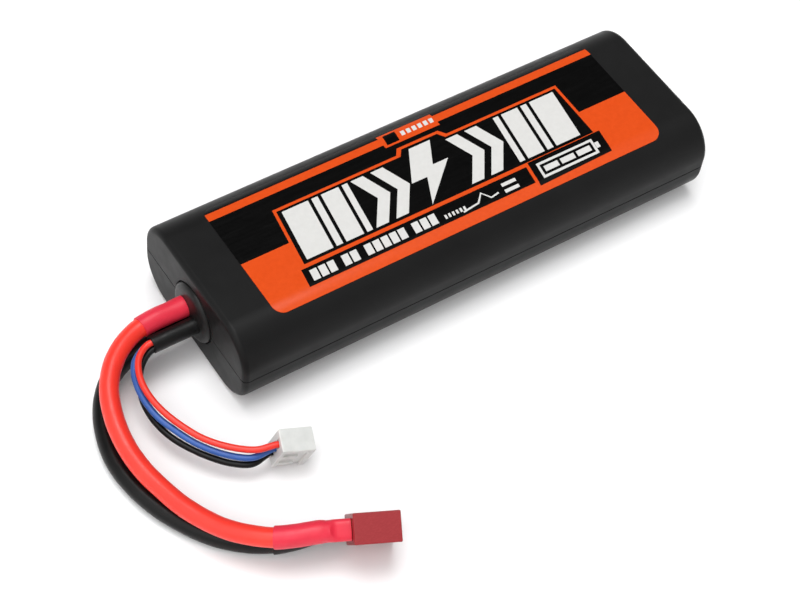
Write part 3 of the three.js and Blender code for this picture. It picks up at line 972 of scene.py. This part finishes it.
def film(name, outlines, lift, thickness, looks, ink_at=None, cuts=()):
    """Thin printed shapes that follow the top of the case; ink_at(v) picks the ink across it."""
    mesh = bmesh.new()
    for outline in outlines:
        mesh.faces.new([mesh.verts.new((u, v, 0)) for u, v in outline])
    bmesh.ops.recalc_face_normals(mesh, faces=mesh.faces[:])
    for face in mesh.faces:
        if face.normal.z < 0:
            face.normal_flip()
    creases = [FLAT_HALF + SIDE_RADIUS * LABEL_WRAP * i / 8 for i in range(8)]
    for v in [*creases, *(-v for v in creases), *cuts]:
        everything = [*mesh.verts, *mesh.edges, *mesh.faces]
        bmesh.ops.bisect_plane(mesh, geom=everything, plane_co=(0, v, 0), plane_no=(0, 1, 0))
    if ink_at:
        for face in mesh.faces:
            face.material_index = ink_at(face.calc_center_median().y)
    for vert in mesh.verts:
        vert.co = on_label(vert.co.x, vert.co.y, lift)
    data = bpy.data.meshes.new(name)
    mesh.to_mesh(data)
    mesh.free()
    for look in looks:
        data.materials.append(look)
    piece = link(name, data)
    modifier = piece.modifiers.new("thickness", "SOLIDIFY")
    modifier.thickness = thickness
    modifier.offset = 1
    freeze(piece)
    piece.data.shade_smooth()
    piece.data.set_sharp_from_angle(angle=math.radians(30))
    return keep(piece, "label_print")


def rounded_outline(half_u, half_v, radius, steps=8):
    """A rectangle with rounded corners, as (u, v) going round from the +u +v corner."""
    points = []
    for corner, (side_u, side_v) in enumerate(((1, 1), (-1, 1), (-1, -1), (1, -1))):
        for i in range(steps + 1):
            turn = math.pi / 2 * (corner + i / steps)
            u = side_u * (half_u - radius) + radius * math.cos(turn)
            points.append((u, side_v * (half_v - radius) + radius * math.sin(turn)))
    return points


def leaned(outline, shift=0.0):
    """The outline leaning forward as it goes up, moved along by shift."""
    return [(u + shift + ART_LEAN * v, v) for u, v in outline]


def bar(start, width, low, high):
    """A leaning upright stripe."""
    return leaned([(0, low), (width, low), (width, high), (0, high)], start)


def chevron(start, width, low, high, notch=0.0042):
    """An arrow head that points along the label, notched behind by as much."""
    middle = (low + high) / 2
    return leaned([
        (0, low), (width - notch, low), (width, middle), (width - notch, high), (0, high), (notch, middle),
    ], start)


def bolt(start, width, low, high):
    """A lightning bolt that fills a width and a height."""
    tall = high - low
    shares = [(0.36, 1), (0.86, 1), (0.64, 0.60), (1, 0.60), (0.20, 0), (0.40, 0.45), (0.04, 0.45)]
    return leaned([(share_u * width, low + share_v * tall) for share_u, share_v in shares], start)


def line(points, thickness):
    """A thin strip of even thickness along an open row of (u, v) points."""
    half = thickness / 2
    above = []
    below = []
    for i, point in enumerate(points):
        a = Vector(points[max(i - 1, 0)])
        b = Vector(points[min(i + 1, len(points) - 1)])
        side = (b - a).orthogonal().normalized() * half
        above.append(tuple(Vector(point) + side))
        below.append(tuple(Vector(point) - side))
    return [*above, *reversed(below)]


def symbol_row():
    """White stripes and arrows either side of a bolt, in a row along the label.
    Each is given with how far it moves the next one along; the arrows nest in each other."""
    stripes = [("bar", 0.0074), ("bar", 0.0018), ("bar", 0.0050), ("bar", 0.0016)]
    arrows = [("chevron", 0.0048), ("chevron", CHEVRON_WIDTH)]
    row = [*stripes, *arrows, ("bolt", 0.0126), *arrows, *reversed(stripes)]
    space = 0.00095
    start = -0.0415
    shapes = []
    for kind, width in row:
        if kind == "bar":
            shapes.append(bar(start, width, ART_LOW, ART_HIGH))
        elif kind == "chevron":
            shapes.append(chevron(start, CHEVRON_WIDTH, ART_LOW, ART_HIGH))
        else:
            shapes.append(bolt(start - 0.001, width, ART_LOW - 0.0006, ART_HIGH + 0.0018))
        start += width + space
    return shapes


def backing(grow):
    """The dark panel behind the symbols, which steps up round the bolt; grow widens it all round."""
    low = ART_LOW - 0.0009 - grow
    high = ART_HIGH + 0.0007 + grow
    peak = high + 0.0019
    left = -0.0427 - grow
    right = 0.0416 + grow
    return [
        (left + ART_LEAN * low, low), (right, low), (right, high), (0.0078 + grow, high),
        (0.0064 + grow, peak), (-0.0042 - grow, peak), (-0.0056 - grow, high),
        (left + ART_LEAN * high, high),
    ]


def info_marks():
    """White level marks in groups, then a plain curve with one peak."""
    marks = []
    start = -0.0424
    for group in (3, 2, 5, 3):
        for _ in range(group):
            marks.append(bar(start, 0.0019, BAR_LOW + 0.0010, BAR_HIGH - 0.0010))
            start += 0.0024
        start += 0.0016
    for i in range(6):
        marks.append(bar(start + 0.0011 * i, 0.0006, BAR_LOW + 0.0012, BAR_LOW + 0.0024))
    knots = [(-0.0018, -0.0140), (0.0030, -0.0134), (0.0052, -0.0111), (0.0068, -0.0135), (0.0092, -0.0131)]
    marks.append(line(knots, 0.0005))
    for v in (-0.0121, -0.0141):
        marks.append(bar(0.0128, 0.0042, v, v + 0.0010))
    return marks


def battery_mark(left, low, length, high, frame_width=0.0007):
    """A battery outline lying on its side, with its stub and three level blocks."""
    inner_low = low + frame_width
    inner_high = high - frame_width
    middle = (low + high) / 2
    shapes = [
        bar(left, length, low, inner_low),
        bar(left, length, inner_high, high),
        bar(left, frame_width, inner_low, inner_high),
        bar(left + length - frame_width, frame_width, inner_low, inner_high),
        bar(left + length + 0.0001, 0.0011, middle - 0.0009, middle + 0.0009),
    ]
    space = 0.0008
    block_width = (length - 2 * frame_width - 4 * space) / 3
    for i in range(3):
        start = left + frame_width + space + i * (block_width + space)
        shapes.append(bar(start, block_width, inner_low + space, inner_high - space))
    return shapes


def add_label():
    far_low, far_high = FAR_STRIPE

    def ink_at(v):
        return 1 if far_low < v < far_high or v < BAND_EDGE else 0

    base = film(
        "label_film", [rounded_outline(LABEL_HALF_LENGTH, LABEL_HALF_WIDTH, LABEL_CORNER)],
        LABEL_LIFT, LABEL_THICKNESS, [black_ink, orange_ink], ink_at, (far_low, far_high, BAND_EDGE),
    )
    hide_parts("label")
    info_panel = leaned([(-0.0441, BAR_LOW), (0.0213, BAR_LOW), (0.0213, BAR_HIGH), (-0.0441, BAR_HIGH)])
    corner_panel = leaned([(0.0222, -0.0162), (0.0445, -0.0157), (0.0445, -0.0088), (0.0222, -0.0088)])
    badge = leaned([(-0.0091, 0.0124), (0.0071, 0.0124), (0.0063, 0.0168), (-0.0099, 0.0168)])
    tile = bar(-0.0083, 0.0036, 0.0130, 0.0162)
    dots = [bar(-0.0035 + 0.0017 * i, 0.0011, 0.0139, 0.0154) for i in range(6)]
    prints = [  # name, shapes, how many inks lie below, ink
        ("label_panel_rim", [backing(0.0008)], 0, orange_ink),
        ("label_panel", [backing(0)], 1, black_ink),
        ("label_symbols", symbol_row(), 2, white_ink),
        ("label_info_panels", [info_panel, corner_panel], 1, black_ink),
        ("label_info_marks", info_marks(), 2, white_ink),
        ("label_battery_mark", battery_mark(0.0240, -0.0148, 0.0172, -0.0101), 2, white_ink),
        ("label_badge", [badge], 0, orange_ink),
        ("label_badge_tile", [tile], 1, black_ink),
        ("label_badge_marks", dots, 1, white_ink),
    ]
    for name, shapes, below, ink in prints:
        film(name, shapes, INK_LIFT + below * INK_THICKNESS, INK_THICKNESS, [ink])


add_label()


# ---------- power plug ----------
def add_plug():
    """A block with rounded edges and a slot right through it for each contact, at right angles."""
    half = PLUG_LENGTH / 2
    wide = PLUG_WIDTH / 2
    thick = PLUG_THICKNESS / 2
    body = block("plug_body", (-half, -wide, -thick), (half, wide, thick), crimson_nylon)
    soften(body, 0.0003, 3)
    upright = (CONTACT_OFFSET, SLOT_SHORT, SLOT_LONG)
    flat = (-CONTACT_OFFSET, SLOT_LONG, SLOT_SHORT)
    for offset, slot_y, slot_z in (upright, flat):
        carve(body, block("slot", (-0.02, offset - slot_y, -slot_z), (0.02, offset + slot_y, slot_z)))
    shade(body)
    body.data.transform(PLUG_PLACE)
    return keep(body, "plug_nylon", "plug_housing")


plug = add_plug()


# ---------- balance connector ----------
def add_balance_housing():
    """A three-way housing: square cavities right through, a recess with two ribs on one broad side,
    and windows for the latches on the other."""
    half = BALANCE_LENGTH / 2
    wide = BALANCE_WIDTH / 2
    thick = BALANCE_THICKNESS / 2
    body = block("balance_connector", (-half, -wide, -thick), (half, wide, thick), milky_nylon)
    back_wall = -half + 0.0011
    recess_low = (back_wall, -wide - 0.001, thick - 0.0006)
    carve(body, block("recess", recess_low, (half - 0.0016, 0.0031, 0.02)))
    for y in (-0.0034, 0.0006):
        rib_low = (back_wall, y - 0.0006, thick - 0.0008)
        carve(body, block("rib", rib_low, (half - 0.0034, y + 0.0006, thick)), "UNION")
    for order in (-1, 0, 1):
        y = order * BALANCE_PITCH
        window_low = (-0.0012, y - 0.0006, -thick - 0.001)
        carve(body, block("window", window_low, (0.0012, y + 0.0006, -thick + 0.0009)))
    soften(body, 0.00022, 3)
    for order in (-1, 0, 1):
        y = order * BALANCE_PITCH
        carve(body, block("cavity", (-0.02, y - 0.001, -0.001), (0.02, y + 0.001, 0.001)))
    shade(body)
    body.data.transform(BALANCE_PLACE)
    return keep(body, "white_nylon", "balance_housing")


connector = add_balance_housing()


# ---------- the CAD nodes that stay ----------
def paint(look, *names):
    for name in names:
        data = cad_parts[name].data
        data.materials.clear()
        data.materials.append(look)


paint(pouch_foil(), "cell_lower", "cell_upper")
aluminium = metal("aluminium_tab", (0.66, 0.67, 0.69), (0.54, 0.55, 0.57), 0.3)
paint(aluminium, "tab_lower_positive", "tab_upper_positive")
terminals = [f"balance_terminal_{pole}" for pole in WIRE_TURNS]
paint(nickel, "tab_lower_negative", "tab_upper_negative", "series_link", *terminals)
paint(foam_rubber(), "cell_divider", "foam_bottom", "foam_top", "foam_rear")
paint(solder_mask(), "terminal_board")
paint(fish_paper(), "board_insulator")
paint(gold, "plug_contact_positive", "plug_contact_negative")


for order, (pole, wire) in enumerate(wires.items()):
    wire_path(pole, order)
